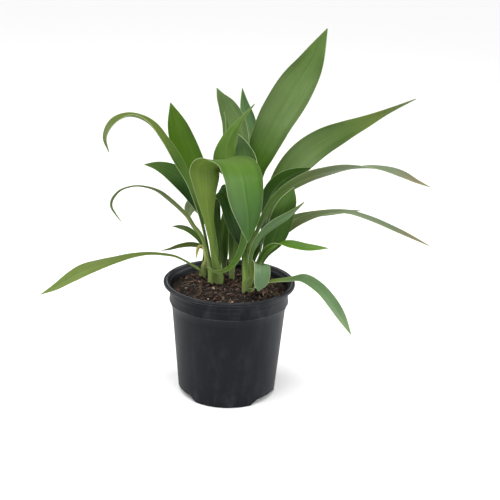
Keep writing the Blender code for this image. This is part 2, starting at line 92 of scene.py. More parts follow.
def soft_box(name, place, size, watts):
    """A square lamp that faces the middle of the plant."""
    bpy.ops.object.light_add(type="AREA", location=place)
    lamp = bpy.context.object
    lamp.name = name
    lamp.data.size = size
    lamp.data.energy = watts
    lamp.rotation_euler = (Vector(place) - AIM).to_track_quat("Z", "Y").to_euler()
    return lamp


soft_box("overhead_box", (-0.2, -0.45, 1.8), 1.2, 12.0)
soft_box("left_box", (-1.35, 0.25, 0.75), 1.1, 11.0)
soft_box("right_box", (1.4, 0.3, 0.5), 0.8, 20.0)
bpy.ops.object.light_add(type="SUN", location=(0.0, 0.0, 3.0))
soft_sun = bpy.context.object
soft_sun.data.energy = SUN_STRENGTH
soft_sun.data.angle = math.radians(SUN_SPREAD)
soft_sun.rotation_euler = (math.radians(SUN_TILT[0]), math.radians(SUN_TILT[1]), 0.0)

surroundings = bpy.data.worlds.new("white_studio")
surroundings.use_nodes = True
bpy.context.scene.world = surroundings
tree = surroundings.node_tree
seen = tree.nodes.new("ShaderNodeLightPath").outputs["Is Camera Ray"]
brightness = tree.nodes.new("ShaderNodeMapRange")
brightness.inputs["To Min"].default_value = SURROUNDINGS
brightness.inputs["To Max"].default_value = 1.0
tree.links.new(seen, brightness.inputs["Value"])
tree.links.new(brightness.outputs["Result"], tree.nodes["Background"].inputs["Strength"])
tree.nodes["Background"].inputs["Color"].default_value = (1.0, 1.0, 1.0, 1.0)
bpy.context.scene.view_settings.view_transform = "Standard"

# %% [markdown]
# ## Shader maths
# Every finish below is a sum of patterns, and those read best as Python expressions. `Wire`
# wraps one socket, so `1 - mask * 0.5` adds the Math nodes by itself. `Finish` wraps one
# material: `node` makes any other node, with its settings first and then its sockets.

# %% Wires and finishes
class Wire:
    """A shader socket that takes part in sums."""

    def __init__(self, finish, socket):
        self.finish = finish
        self.socket = socket

    def math(self, operation, first, second=0.0):
        settings = {"operation": operation}
        return self.finish.node("ShaderNodeMath", settings, {0: first, 1: second})

    def __add__(self, other):
        return self.math("ADD", self, other)

    def __radd__(self, other):
        return self.math("ADD", other, self)

    def __sub__(self, other):
        return self.math("SUBTRACT", self, other)

    def __rsub__(self, other):
        return self.math("SUBTRACT", other, self)

    def __mul__(self, other):
        return self.math("MULTIPLY", self, other)

    def __rmul__(self, other):
        return self.math("MULTIPLY", other, self)

    def __truediv__(self, other):
        return self.math("DIVIDE", self, other)

    def sine(self):
        return self.math("SINE", self)

    def rises(self, low, high):
        """0 below low, 1 above high, and smooth in between."""
        settings = {"interpolation_type": "SMOOTHSTEP"}
        sockets = {"Value": self, "From Min": low, "From Max": high}
        return self.finish.node("ShaderNodeMapRange", settings, sockets)

    def falls(self, low, high):
        """1 below low, 0 above high, and smooth in between."""
        return 1.0 - self.rises(low, high)

    def band(self, low, full, fading, high):
        """1 between full and fading, 0 outside low and high."""
        return self.rises(low, full) * self.falls(fading, high)


class Finish:
    """One material, and the nodes that lead to its shader."""

    def __init__(self, name, **values):
        self.material = bpy.data.materials.new(name)
        self.material.use_nodes = True
        self.nodes = self.material.node_tree.nodes
        self.shader = self.nodes["Principled BSDF"]
        for socket, value in values.items():
            self.set(socket.replace("_", " ").title().replace("Ior", "IOR"), value)

    def join(self, socket, value):
        if isinstance(value, Wire):
            self.material.node_tree.links.new(value.socket, socket)
        elif socket.type == "RGBA":
            socket.default_value = (*value[:3], 1.0)
        else:
            socket.default_value = value

    def set(self, socket, value):
        self.join(self.shader.inputs[socket], value)

    def node(self, kind, settings, sockets, out=0):
        made = self.nodes.new(kind)
        for name, value in settings.items():
            setattr(made, name, value)
        for name, value in sockets.items():
            self.join(made.inputs[name], value)
        return Wire(self, made.outputs[out])

    def places(self):
        """Object coordinates, in metres."""
        return self.node("ShaderNodeTexCoord", {}, {}, "Object")

    def height(self):
        return self.node("ShaderNodeSeparateXYZ", {}, {0: self.places()}, "Z")

    def attribute(self, name, out="Fac"):
        return self.node("ShaderNodeAttribute", {"attribute_name": name}, {}, out)

    def vector(self, x, y, z):
        return self.node("ShaderNodeCombineXYZ", {}, {"X": x, "Y": y, "Z": z})

    def stretched(self, vector, factors):
        sockets = {0: vector, 1: factors}
        return self.node("ShaderNodeVectorMath", {"operation": "MULTIPLY"}, sockets)

    def shaded(self, colour, factor):
        sockets = {0: colour, "Scale": factor}
        return self.node("ShaderNodeVectorMath", {"operation": "SCALE"}, sockets)

    def cloud(self, vector, scale, detail=3.0, roughness=0.55):
        sockets = {"Vector": vector, "Scale": scale, "Detail": detail, "Roughness": roughness}
        return self.node("ShaderNodeTexNoise", {}, sockets, "Fac")

    def mixed(self, factor, below, above):
        """One colour laid over another."""
        made = self.nodes.new("ShaderNodeMix")
        made.data_type = "RGBA"
        colours = [socket for socket in made.inputs if socket.type == "RGBA"]
        self.join(made.inputs[0], factor)
        self.join(colours[0], below)
        self.join(colours[1], above)
        return Wire(self, [socket for socket in made.outputs if socket.type == "RGBA"][0])

    def bump(self, height, depth, strength=1.0):
        """Relief of a depth in metres."""
        sockets = {"Height": height, "Distance": depth, "Strength": strength}
        self.set("Normal", self.node("ShaderNodeBump", {}, sockets, "Normal"))


# %% [markdown]
# ## Hands
# Modelling operators act on whatever is selected, and a freshly loaded frame is selected as
# a whole. So each step first lets go of everything and picks up the one thing it works on.

# %% Hands
def pick_up(*things):
    """Select only these, the first one active."""
    if bpy.context.object and bpy.context.object.mode != "OBJECT":
        bpy.ops.object.mode_set(mode="OBJECT")
    bpy.ops.object.select_all(action="DESELECT")
    for thing in things:
        thing.select_set(True)
    bpy.context.view_layer.objects.active = things[0]


def named(name):
    """Name the thing that an operator has just made."""
    made = bpy.context.object
    made.name = name
    made.data.name = name
    return made


def apply_all(thing):
    pick_up(thing)
    for modifier in list(thing.modifiers):
        bpy.ops.object.modifier_apply(modifier=modifier.name)


def hand_over(piece, slot, *replaced):
    """Hide the frame's parts that a finished piece replaces, and hang it on the root body."""
    if replaced:
        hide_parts(*replaced)
    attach(piece, "root")


def copies_of(shapes, places, name):
    """One piece made of many copies, each turned, sized and placed by a matrix."""
    made = []
    for index, place in enumerate(places):
        copy = shapes[index % len(shapes)].copy()
        copy.data = copy.data.copy()
        copy.data.transform(place)
        bpy.context.scene.collection.objects.link(copy)
        made.append(copy)
    pick_up(*made)
    bpy.ops.object.join()
    joined = named(name)
    print(name, len(made), "copies,", len(joined.data.polygons), "faces")
    return joined


def put_away(*shapes):
    for shape in shapes:
        bpy.data.objects.remove(shape, do_unlink=True)


# %% [markdown]
# ## Floor
# The floor is a plain sheet, far larger than the picture shows, with a matt white finish.

# %% Floor
FLOOR_SIZE = 14.0
white_floor = Finish("white_floor", base_color=(0.97, 0.97, 0.97), roughness=0.9)
bpy.ops.mesh.primitive_plane_add(size=FLOOR_SIZE)
floor = named("studio_floor")
floor.data.materials.append(white_floor.material)

# %% [markdown]
# ## Nursery pot
# A nursery pot is blown or moulded in thin black plastic. It tapers towards its foot, has a
# plain collar under a wide turned lip, and stands on a ring that is notched so that water can
# run out. A lathe gives all of this but the notches: the wall's profile is drawn by pushing
# one point along, and then it is spun round the pot's axis.

# %% The pot's profile
RIM = 75.0
RIM_INNER = 70.4
HEIGHT = 134.0
COLLAR = 67.6
COLLAR_TOP = 128.6
COLLAR_FOOT = 110.5
BODY_TOP = 102.0
BODY_TOP_RADIUS = 64.8
FOOT = 56.0
WALL = 1.3
FLOOR_THICKNESS = 1.6
FOOT_RECESS = FOOT - 3.0
CHANNEL_HEIGHT = 4.4
CHANNEL_SLOPE = 4.0
REST_RADIUS = 36.0
POT_STEPS = 192


def taper(height):
    """The outer radius of the body."""
    return FOOT + (BODY_TOP_RADIUS - FOOT) * height / BODY_TOP


channel_top = CHANNEL_HEIGHT + FLOOR_THICKNESS
pot_profile = [
    (0.0, FLOOR_THICKNESS),
    (REST_RADIUS - 1.0, FLOOR_THICKNESS),
    (REST_RADIUS - 1.0 + CHANNEL_SLOPE, channel_top),
    (taper(channel_top) - WALL - 2.0, channel_top),
    (taper(channel_top) - WALL, channel_top + 2.0),
    (BODY_TOP_RADIUS - WALL, BODY_TOP + 0.5),
    (COLLAR - WALL, COLLAR_FOOT + 0.5),
    (COLLAR - WALL, COLLAR_TOP - 1.0),
    (COLLAR - WALL + 1.2, COLLAR_TOP + 2.2),
    (RIM_INNER - 0.6, HEIGHT - 1.2),
    (RIM_INNER - 0.1, HEIGHT - 0.5),
    (RIM_INNER + 0.9, HEIGHT - 0.1),
    (RIM - 1.6, HEIGHT),
    (RIM - 0.7, HEIGHT - 0.3),
    (RIM - 0.1, HEIGHT - 1.0),
    (RIM, HEIGHT - 2.0),
    (RIM - 0.3, HEIGHT - 3.4),
    (RIM - 0.8, HEIGHT - 3.8),
    (RIM - 1.4, HEIGHT - 3.6),
    (RIM - 2.2, HEIGHT - 2.4),
    (RIM_INNER + 0.6, HEIGHT - 2.2),
    (COLLAR + 1.0, COLLAR_TOP + 1.6),
    (COLLAR + 0.1, COLLAR_TOP - 0.4),
    (COLLAR, COLLAR_TOP - 1.8),
    (COLLAR, COLLAR_FOOT + 1.6),
    (COLLAR + 0.3, COLLAR_FOOT + 1.2),
    (COLLAR + 0.6, COLLAR_FOOT + 0.8),
    (COLLAR + 0.3, COLLAR_FOOT + 0.1),
    (COLLAR - 0.4, COLLAR_FOOT - 0.8),
    (BODY_TOP_RADIUS + 0.3, BODY_TOP + 0.7),
    (BODY_TOP_RADIUS, BODY_TOP - 0.6),
    (taper(2.0), 2.0),
    (taper(0.8) - 0.3, 0.5),
    (FOOT - 1.2, 0.0),
    (FOOT_RECESS, 0.0),
    (FOOT_RECESS - 0.3, CHANNEL_HEIGHT),
    (REST_RADIUS + CHANNEL_SLOPE, CHANNEL_HEIGHT),
    (REST_RADIUS, 0.0),
    (0.0, 0.0),
]

# %% Spin the pot
def draw_profile(points):
    """Shrink a new square to one point, and push that point along the profile."""
    bpy.ops.mesh.primitive_plane_add(size=1.0)
    bpy.ops.object.mode_set(mode="EDIT")
    bpy.ops.mesh.merge(type="CENTER")
    start = Vector((points[0][0], 0.0, points[0][1])) * MM
    bpy.ops.transform.translate(value=start)
    for here, there in zip(points, points[1:]):
        step = Vector((there[0] - here[0], 0.0, there[1] - here[1])) * MM
        bpy.ops.mesh.extrude_region_move(TRANSFORM_OT_translate={"value": step})


def spin_round(points, steps):
    draw_profile(points)
    bpy.ops.mesh.select_all(action="SELECT")
    bpy.ops.mesh.spin(steps=steps, angle=math.radians(360.0), center=(0.0, 0.0, 0.0),
                      axis=(0.0, 0.0, 1.0))
    bpy.ops.mesh.select_all(action="SELECT")
    bpy.ops.mesh.remove_doubles(threshold=0.01 * MM)
    bpy.ops.mesh.normals_make_consistent(inside=False)
    bpy.ops.object.mode_set(mode="OBJECT")


spin_round(pot_profile, POT_STEPS)
pot = named("nursery_pot")
print("pot", len(pot.data.polygons), "faces")

# %% [markdown]
# The notches in the foot are cut with three blocks. Each block starts as a cube that is bent
# round the pot, and its top is drawn in, so that the ends of the notch slant as they do where
# the real mould had to let go of the plastic.

# %% Notches in the foot
NOTCH_FIRST = -153.0
NOTCH_COUNT = 3
NOTCH_SWEEP = 64.0
NOTCH_TOP_SWEEP = 34.0
NOTCH_HEIGHT = 6.5
NOTCH_INNER = 44.0
NOTCH_OVERRUN = 3.0
NOTCH_CUTS = 11

for notch in range(NOTCH_COUNT):
    bpy.ops.mesh.primitive_cube_add(size=2.0)
    block = named("notch")
    bpy.ops.object.mode_set(mode="EDIT")
    bpy.ops.mesh.select_all(action="SELECT")
    bpy.ops.mesh.subdivide(number_cuts=NOTCH_CUTS)
    bpy.ops.object.mode_set(mode="OBJECT")
    middle = NOTCH_FIRST + notch * 360.0 / NOTCH_COUNT
    for corner in block.data.vertices:
        x, y, z = corner.co
        rise = (z + 1.0) / 2.0
        sweep = NOTCH_SWEEP + (NOTCH_TOP_SWEEP - NOTCH_SWEEP) * rise
        angle = math.radians(middle + y * sweep / 2.0)
        radius = NOTCH_INNER + (FOOT + NOTCH_OVERRUN - NOTCH_INNER) * (x + 1.0) / 2.0
        height = -NOTCH_OVERRUN + (NOTCH_HEIGHT + NOTCH_OVERRUN) * rise
        corner.co = Vector((radius * math.cos(angle), radius * math.sin(angle), height)) * MM
    cut = pot.modifiers.new("notch", "BOOLEAN")
    cut.operation = "DIFFERENCE"
    cut.object = block
    apply_all(pot)
    put_away(block)

# %% [markdown]
# The plastic is charcoal rather than black. Handling has left a little dust, pale scuffs on
# the collar and a few specks of dried mix. The top of the lip is painted lighter as a
# highlight, its inner and lower edges carry thin painted highlights, and a band of painted
# shadow runs under the lip. Three fine pale rings run round the collar. The surface is matt,
# with a very fine grain. Dust, scuffs and the painted light are patterns of the object's own
# space, so they stay where they are from every side.

# %% Charcoal plastic
CHARCOAL = (0.0040, 0.0047, 0.0070)
DUST = (0.13, 0.13, 0.135)
DRIED_MIX = (0.10, 0.075, 0.055)


def charcoal_plastic():
    finish = Finish("charcoal_plastic")
    place = finish.places()
    height = finish.height()
    haze = finish.cloud(place, 28.0, 4.0)
    blotch = finish.cloud(finish.stretched(place, (1.0, 1.0, 0.4)), 70.0, 5.0, 0.65)
    scratch = finish.cloud(finish.stretched(place, (40.0, 40.0, 260.0)), 4.0, 3.0, 0.7)
    grain = finish.cloud(place, 2400.0, 2.0)
    speck = finish.node("ShaderNodeTexVoronoi", {}, {"Vector": place, "Scale": 110.0}, "Distance")
    collar = height.band(0.108, 0.112, 0.127, 0.130)
    ledge = height.band(0.1275, 0.1295, 0.1305, 0.1325)
    foot = height.falls(0.004, 0.022)
    lip = height.rises(0.1310, 0.1335)
    flat_place = finish.stretched(place, (1.0, 1.0, 0.0))
    radius = finish.node("ShaderNodeVectorMath", {"operation": "LENGTH"}, {0: flat_place}, "Value")
    # painted highlights: a pale line on the lip's inner rounded edge, and one on its lower edge
    lip_edge_highlight = lip * radius.band(0.0698, 0.0706, 0.0716, 0.0728)
    lip_edge_highlight = lip_edge_highlight + height.band(0.1296, 0.1301, 0.1306, 0.1311) * 0.5
    rings = height.band(0.1245, 0.1248, 0.1250, 0.1254)
    rings = rings + height.band(0.1190, 0.1193, 0.1195, 0.1199) * 0.5
    rings = rings + height.band(0.1108, 0.1111, 0.1115, 0.1118)
    # painted shadow: a dark band under the lip
    under_lip_shadow = height.band(0.1268, 0.1284, 0.1296, 0.1306)
    scuffed = scratch.rises(0.60, 0.74) * haze.rises(0.46, 0.62) * (0.15 + collar * 0.85)
    dusty = blotch.rises(0.42, 0.80) * (0.22 + ledge * 0.5 + collar * 0.25 + foot * 0.3)
    dirty = speck.falls(0.03, 0.07) * haze.rises(0.45, 0.60)
    # the lip term paints the top of the lip lighter, a painted highlight; haze and dusty are dust
    colour = finish.mixed(haze * 0.02 + dusty * 0.4 + lip * 0.09, CHARCOAL, DUST)
    colour = finish.mixed(under_lip_shadow * 0.8, colour, CHARCOAL)
    colour = finish.mixed((lip_edge_highlight * 0.8 + rings * 0.35) * haze.rises(0.3, 0.6), colour, DUST)
    colour = finish.mixed(scuffed * 0.55, colour, DUST)
    colour = finish.mixed(dirty * 0.55, colour, DRIED_MIX)
    finish.set("Base Color", colour)
    finish.set("Roughness", 0.40 + blotch * 0.16 + dusty * 0.2 - scuffed * 0.05)
    finish.set("Specular IOR Level", 0.13)
    finish.set("Specular Tint", (0.88, 0.94, 1.0))
    finish.bump(grain * 0.5 + blotch * 0.6 - scuffed * 0.5 + dirty * 0.8, 0.12 * MM, 0.6)
    return finish


plastic = charcoal_plastic()
pot.data.materials.append(plastic.material)
pick_up(pot)
bpy.ops.object.shade_smooth_by_angle(angle=math.radians(35.0))
hand_over(pot, "pot_plastic", "pot")

# %% [markdown]
# ## Potting mix
# Potting mix is bark, peat and a little perlite. It is mounded round the shoots, and at the
# wall it lies a centimetre below the rim. Its body is one lumpy disc. A square grid is pressed
# into a round one, which keeps its cells even from the middle to the wall, its points are
# raised by noise, and the edge is pulled down to the floor of the pot to close it.

# %% The lumpy surface
SHOOTS = {
    "left": (-16.0, 0.0),
    "far_left": (-28.5, 16.0),
    "back": (-6.0, 25.0),
    "middle": (3.0, 2.0),
    "front": (20.0, -28.0),
    "right": (34.0, -9.0),
    "back_right": (22.0, 16.0),
}
GAP = 0.3
SOIL_EDGE = 123.5
SOIL_CROWN = 130.5
SOIL_RADIUS = COLLAR - WALL - GAP
SOIL_CELLS = 132
MOUND_REACH = 26.0
EDGE_REACH = 5.0
HEAP_HEIGHT = 1.2
LUMP_HEIGHT = 2.4
CRUMB_HEIGHT = 0.75


def smooth_step(low, high, value):
    share = min(max((value - low) / (high - low), 0.0), 1.0)
    return share * share * (3.0 - 2.0 * share)


def near_shoot(x, y):
    return min(math.hypot(x - shoot[0], y - shoot[1]) for shoot in SHOOTS.values())


def soil_height(x, y):
    """The same mound and lumps as in the solid, with crumbs added."""
    radius = math.hypot(x, y)
    level = smooth_step(SOIL_RADIUS - MOUND_REACH, SOIL_RADIUS, radius)
    inside = 1.0 - smooth_step(SOIL_RADIUS - EDGE_REACH, SOIL_RADIUS, radius)
    lumps = noise.noise(Vector((x, y, 0.0)) / 9.0)
    lumps += 0.5 * noise.noise(Vector((x, y, 40.0)) / 4.5)
    crumbs = noise.noise(Vector((x, y, 80.0)) / 2.2) + 0.6 * noise.noise(Vector((x, y, 9.0)) / 1.1)
    heaped = HEAP_HEIGHT * (1.0 - smooth_step(5.0, 14.0, near_shoot(x, y)))
    mound = SOIL_EDGE + (SOIL_CROWN - SOIL_EDGE) * (1.0 - level)
    return mound + heaped + LUMP_HEIGHT * lumps * inside + CRUMB_HEIGHT * crumbs


bpy.ops.mesh.primitive_grid_add(x_subdivisions=SOIL_CELLS, y_subdivisions=SOIL_CELLS, size=2.0)
soil = named("potting_mix_body")
bpy.ops.object.mode_set(mode="EDIT")
bpy.ops.mesh.select_all(action="SELECT")
bpy.ops.mesh.extrude_region_move(TRANSFORM_OT_translate={"value": (0.0, 0.0, 1.0)})
bpy.ops.object.mode_set(mode="OBJECT")
soil_bottom = channel_top + GAP
narrowing = (taper(soil_bottom + 4.0) - WALL - GAP) / SOIL_RADIUS
for point in soil.data.vertices:
    u, v, top = point.co
    x = SOIL_RADIUS * u * math.sqrt(1.0 - v * v / 2.0)
    y = SOIL_RADIUS * v * math.sqrt(1.0 - u * u / 2.0)
    if top > 0.5:
        point.co = Vector((x, y, soil_height(x, y))) * MM
    else:
        point.co = Vector((x * narrowing, y * narrowing, soil_bottom)) * MM
pick_up(soil)
bpy.ops.object.mode_set(mode="EDIT")
bpy.ops.mesh.select_all(action="SELECT")
bpy.ops.mesh.normals_make_consistent(inside=False)
bpy.ops.object.mode_set(mode="OBJECT")
bpy.ops.object.shade_smooth()
print("potting mix", len(soil.data.polygons), "faces")

# %% [markdown]
# The mix is nearly black where it is wet peat and reddish where bark shows. Three brown
# finishes cover the pieces that lie on it, each with its own noise, so that no two chips look
# alike.

# %% Browns
def crumbly(name, dark, light, contrast=1.0):
    finish = Finish(name, specular_ior_level=0.25)
    place = finish.places()
    patches = finish.cloud(place, 160.0, 4.0)
    crumbs = finish.cloud(place, 900.0, 5.0, 0.7)
    mix = (patches * 0.6 + crumbs * 0.6).rises(0.42, 0.42 + 0.36 / contrast)
    finish.set("Base Color", finish.mixed(mix, dark, light))
    finish.set("Roughness", 0.95 - crumbs * 0.2)
    finish.bump(crumbs + patches * 0.5, 0.5 * MM, 0.8)
    return finish


peat = crumbly("wet_peat", (0.005, 0.004, 0.003), (0.022, 0.015, 0.011))
bark_finishes = {
    "dark": crumbly("dark_bark", (0.007, 0.005, 0.004), (0.036, 0.023, 0.016)),
    "red": crumbly("red_bark", (0.020, 0.011, 0.008), (0.120, 0.064, 0.044)),
    "pale": crumbly("pale_bark", (0.08, 0.052, 0.036), (0.36, 0.27, 0.20)),
}
soil.data.materials.append(peat.material)
hand_over(soil, "potting_mix", "soil")

# %% [markdown]
# Bark chips are modelled once, in a few shapes: a cube with bevelled edges, squashed, with its
# corners knocked about. Copies are strewn over the mound with a seeded draw, so the file gives
# the same pot each time. They lie on the surface, tipped a little into it, and some are heaped
# against the shoots, so that no shoot rises from bare ground.

# %% Bark chips
random.seed(12)
CHIP_COUNTS = {"dark": 300, "red": 250, "pale": 64}
CHIP_LENGTH = {"dark": (2.8, 7.0), "red": (3.0, 8.6), "pale": (2.0, 5.4)}
HEAPED_COUNTS = {"dark": 110, "red": 60, "pale": 10}
SHOOT_REACH = {"left": 9.5, "far_left": 6.5, "back": 5.0, "middle": 3.6, "front": 8.0, "right": 5.0,
               "back_right": 8.0}


def rough_chip(seed):
    bpy.ops.mesh.primitive_cube_add(size=1.0)
    bpy.ops.object.mode_set(mode="EDIT")
    bpy.ops.mesh.select_all(action="SELECT")
    bpy.ops.mesh.bevel(offset=0.16, segments=1, affect="EDGES")
    bpy.ops.transform.vertex_random(offset=0.16, seed=seed)
    bpy.ops.object.mode_set(mode="OBJECT")
    return named("chip_shape")


def spot_on_soil(margin=2.4, clear=3.5):
    """A place on the mix that no shoot covers."""
    while True:
        x = random.uniform(-SOIL_RADIUS, SOIL_RADIUS)
        y = random.uniform(-SOIL_RADIUS, SOIL_RADIUS)
        if math.hypot(x, y) < SOIL_RADIUS - margin and near_shoot(x, y) > clear:
            return Vector((x, y, soil_height(x, y)))


def strewn(length, width, thickness, sink, tip=28.0):
    """A matrix that lays one copy down somewhere on the mix."""
    place = Matrix.Translation((spot_on_soil() - Vector((0.0, 0.0, sink))) * MM)
    turned = Matrix.Rotation(random.uniform(0.0, math.tau), 4, "Z")
    lean = Matrix.Rotation(math.radians(random.uniform(-tip, tip)), 4, "X")
    pitch_up = Matrix.Rotation(math.radians(random.uniform(-tip, tip)), 4, "Y")
    size = Matrix.Diagonal((length * MM, width * MM, thickness * MM, 1.0))
    return place @ turned @ lean @ pitch_up @ size


def heaped(length, width, thickness):
    """A matrix that leans one copy against the foot of a shoot."""
    name = random.choice(list(SHOOT_REACH))
    turn = random.uniform(0.0, math.tau)
    away = SHOOT_REACH[name] + random.uniform(-0.8, 3.2)
    x = SHOOTS[name][0] + away * math.cos(turn)
    y = SHOOTS[name][1] + away * math.sin(turn)
    spot = Vector((x, y, soil_height(x, y) + random.uniform(-0.3, 1.9)))
    lean = Matrix.Rotation(math.radians(random.uniform(-50.0, 50.0)), 4, "Y")
    size = Matrix.Diagonal((length * MM, width * MM, thickness * MM, 1.0))
    return Matrix.Translation(spot * MM) @ Matrix.Rotation(turn + 1.6, 4, "Z") @ lean @ size


chip_shapes = [rough_chip(seed) for seed in range(6)]
for tone, count in CHIP_COUNTS.items():
    places = []
    for chip in range(count):
        length = random.uniform(*CHIP_LENGTH[tone])
        width = length * random.uniform(0.3, 0.6)
        places.append(strewn(length, width, random.uniform(0.9, 2.2), 0.1, 38.0))
    for chip in range(HEAPED_COUNTS[tone]):
        length = random.uniform(*CHIP_LENGTH[tone]) * 0.8
        places.append(heaped(length, length * random.uniform(0.4, 0.8), random.uniform(0.8, 1.8)))
    chips = copies_of(chip_shapes, places, "bark_" + tone)
    chips.data.materials.append(bark_finishes[tone].material)
    hand_over(chips, "potting_mix")
put_away(*chip_shapes)

# %% [markdown]
# Crumbs of peat fill in between the chips. They are small balls with few faces, and there are
# many of them. A few white grains are perlite.

# %% Crumbs and perlite
CRUMB_COUNT = 1500
PERLITE_COUNT = 34


def rough_ball(seed, detail):
    bpy.ops.mesh.primitive_ico_sphere_add(subdivisions=detail, radius=0.5)
    bpy.ops.object.mode_set(mode="EDIT")
    bpy.ops.mesh.select_all(action="SELECT")
    bpy.ops.transform.vertex_random(offset=0.12, seed=seed)
    bpy.ops.object.mode_set(mode="OBJECT")
    bpy.ops.object.shade_smooth()
    return named("ball_shape")


def strew_balls(name, count, shapes, widest, longer, finish):
    places = []
    for ball in range(count):
        width = random.uniform(0.7, widest)
        places.append(strewn(width * longer, width, width * 0.8, 0.1, 60.0))
    balls = copies_of(shapes, places, name)
    balls.data.materials.append(finish.material)
    hand_over(balls, "potting_mix")
    put_away(*shapes)


crumb_shapes = [rough_ball(seed, 1) for seed in range(5)]
strew_balls("peat_crumbs", CRUMB_COUNT, crumb_shapes, 2.3, 1.3, bark_finishes["dark"])
perlite_finish = Finish("perlite", base_color=(0.62, 0.58, 0.52), roughness=0.85)
grain_shapes = [rough_ball(seed, 2) for seed in range(3)]
strew_balls("perlite_grains", PERLITE_COUNT, grain_shapes, 1.7, 1.0, perlite_finish)

# %% [markdown]
# Fine pale roots and coir fibres lie loose on the mix. Each is a thin curve with four sides,
# bent by small random steps and then made a mesh.

# %% Fibres
FIBRE_COUNT = 95
FIBRE_RADIUS = 0.17
FIBRE_STEPS = 7


def loose_fibre():
    middle = spot_on_soil(9.0)
    length = random.uniform(5.0, 15.0)
    turn = random.uniform(0.0, math.tau)
    curl = random.uniform(-1.4, 1.4)
    curve = bpy.data.curves.new("fibre", "CURVE")
    curve.dimensions = "3D"
    curve.bevel_depth = FIBRE_RADIUS * random.uniform(0.7, 1.3) * MM
    curve.bevel_resolution = 0
    curve.use_fill_caps = True
    spline = curve.splines.new("POLY")
    spline.points.add(FIBRE_STEPS)
    here = middle - Vector((math.cos(turn), math.sin(turn), 0.0)) * length / 2.0
    for index, point in enumerate(spline.points):
        lift = 0.7 + 1.1 * math.sin(math.pi * index / FIBRE_STEPS) * random.random()
        point.co = (here.x * MM, here.y * MM, (soil_height(here.x, here.y) + lift) * MM, 1.0)
        turn += curl / FIBRE_STEPS + random.uniform(-0.25, 0.25)
        here = here + Vector((math.cos(turn), math.sin(turn), 0.0)) * length / FIBRE_STEPS
    fibre = bpy.data.objects.new("fibre", curve)
    bpy.context.scene.collection.objects.link(fibre)
    return fibre


pick_up(*[loose_fibre() for fibre in range(FIBRE_COUNT)])
bpy.ops.object.convert(target="MESH")
bpy.ops.object.join()
fibres = named("loose_fibres")
straw = Finish("straw_fibre", base_color=(0.24, 0.16, 0.10), roughness=0.8)
fibres.data.materials.append(straw.material)
hand_over(fibres, "potting_mix")
print("fibres", len(fibres.data.polygons), "faces")

# %% [markdown]
# ## Strap leaves
# Every leaf leaves its shoot wrapped in a short sheath, narrows to a stalk, widens to a blade
# and tapers to a tip, and a shallow fold runs along its midrib. One function makes them all
# from a few facts a leaf: its shoot and its layer there, the side it grows from, its greatest
# width and its form, its fold, its turns about its own spine, and the points its midrib
# passes through. The forms give the width at even steps, as shares of the greatest width.
# All lengths are millimetres, as in the solids.

# %% Forms of the blades
STRAP = (0.48, 0.42, 0.55, 0.80, 0.96, 1.0, 0.92, 0.66, 0.05)
ARCH = (0.38, 0.36, 0.5, 0.8, 0.96, 1.0, 0.92, 0.72, 0.05)
BROAD = (0.24, 0.24, 0.44, 0.8, 0.97, 1.0, 0.92, 0.67, 0.03)
BLUNT = (0.26, 0.26, 0.46, 0.80, 0.97, 1.0, 0.97, 0.78, 0.03)
FLARED = (0.23, 0.14, 0.16, 0.28, 0.66, 1.0, 0.96, 0.72, 0.03)
FOLDED = (0.23, 0.14, 0.18, 0.42, 0.86, 1.0, 0.96, 0.72, 0.03)
TAPERED = (0.24, 0.26, 0.54, 0.88, 1.0, 0.97, 0.8, 0.48, 0.03)
THIN = (0.85, 0.75, 0.80, 0.92, 1.0, 0.95, 0.78, 0.48, 0.10)
EARLY = (0.45, 0.52, 0.82, 1.0, 0.74, 0.46, 0.38, 0.3, 0.05)
LATE = (0.55, 0.38, 0.38, 0.46, 0.62, 0.88, 1.0, 0.66, 0.05)
TALL = (0.24, 0.25, 0.38, 0.64, 0.85, 1.0, 0.97, 0.6, 0.03)
LONG_TIP = (0.24, 0.24, 0.48, 0.88, 1.0, 0.84, 0.50, 0.20, 0.03)
SPEAR = (0.24, 0.34, 0.36, 0.28, 0.28, 0.95, 0.54, 0.2, 0.03)

# %% [markdown]
# These are the facts of the twenty-eight leaves. A side is a compass angle round the shoot in
# degrees, with 0 to the right and -90 to the front. Turns are degrees too, at even steps from
# foot to tip.

